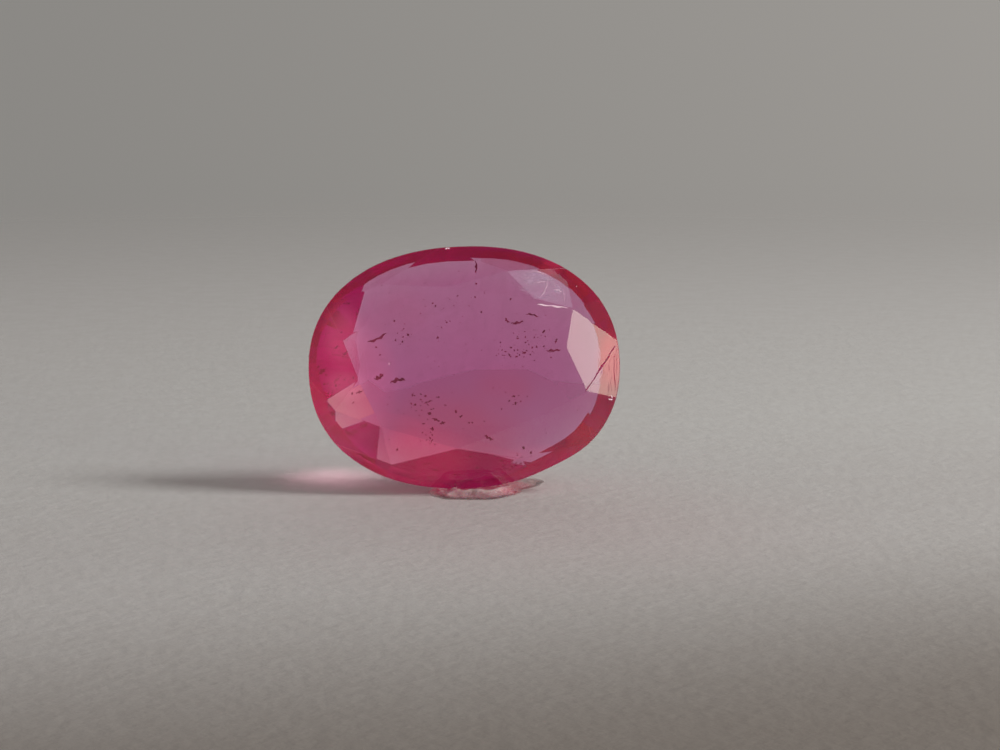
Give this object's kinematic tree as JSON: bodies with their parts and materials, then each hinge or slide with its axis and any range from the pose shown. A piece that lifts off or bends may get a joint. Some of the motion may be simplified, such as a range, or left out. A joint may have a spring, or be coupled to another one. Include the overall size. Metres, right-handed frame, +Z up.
{
  "type": "faceted oval ruby on an adhesive dab",
  "caption": "Oval brilliant-cut ruby gemstone with a shallow step-cut pavilion, standing on its long edge in a small dab of clear adhesive.",
  "frame": {"origin": "on the dab's flat underside, straight below the middle of the stone's girdle", "axes": "+X along the stone's length to the viewer's right, +Z up, the table faces -Y"},
  "size_m": [0.009, 0.0029, 0.0071],
  "materials": {
    "ruby": "polished transparent pinkish red corundum, refractive index 1.76",
    "adhesive": "clear, crumpled, satin"
  },
  "bodies": {
    "root": {"ruby": "ruby", "adhesive_dab": "adhesive"}
  },
  "joints": []
}
